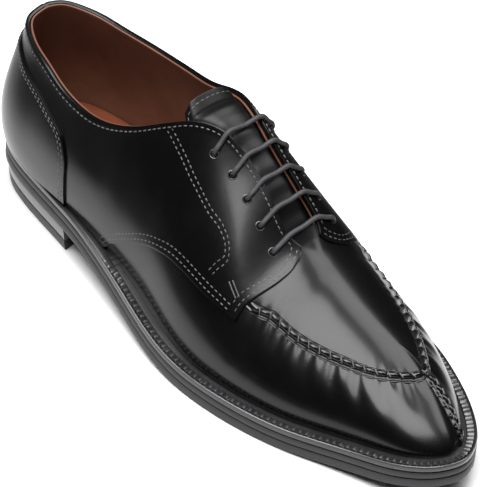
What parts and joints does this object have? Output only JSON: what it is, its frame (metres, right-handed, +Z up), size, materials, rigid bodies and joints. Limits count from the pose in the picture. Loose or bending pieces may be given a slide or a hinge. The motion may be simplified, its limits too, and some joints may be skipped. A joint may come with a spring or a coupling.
{
  "type": "split toe derby shoe",
  "caption": "Black leather split toe derby, right shoe, with raised apron seam, low stacked heel, welted double sole and straight bar lacing.",
  "frame": {"origin": "on the floor, below the middle of the shoe's box", "axes": "+X towards the toe, +Y towards the wearer's left, which is the medial side of this right shoe, +Z up"},
  "size_m": [0.3086, 0.1072, 0.1092],
  "materials": {
    "upper": "polished black calf",
    "tongue": "polished black calf",
    "welt": "black edge dressing",
    "sole_edge": "black edge dressing, burnished",
    "heel_stack": "black edge dressing, burnished",
    "top_piece": "smooth black",
    "insole": "matt red brown",
    "lace": "waxed round cotton"
  },
  "bodies": {
    "root": {"outsole": "sole_edge", "midsole": "sole_edge", "welt": "welt", "top_piece": "top_piece", "heel_stack": "heel_stack", "insole": "insole", "upper": "upper", "tongue": "tongue", "lace_bar_1": "lace", "lace_bar_2": "lace", "lace_bar_3": "lace", "lace_bar_4": "lace", "lace_bar_5": "lace"}
  },
  "joints": []
}
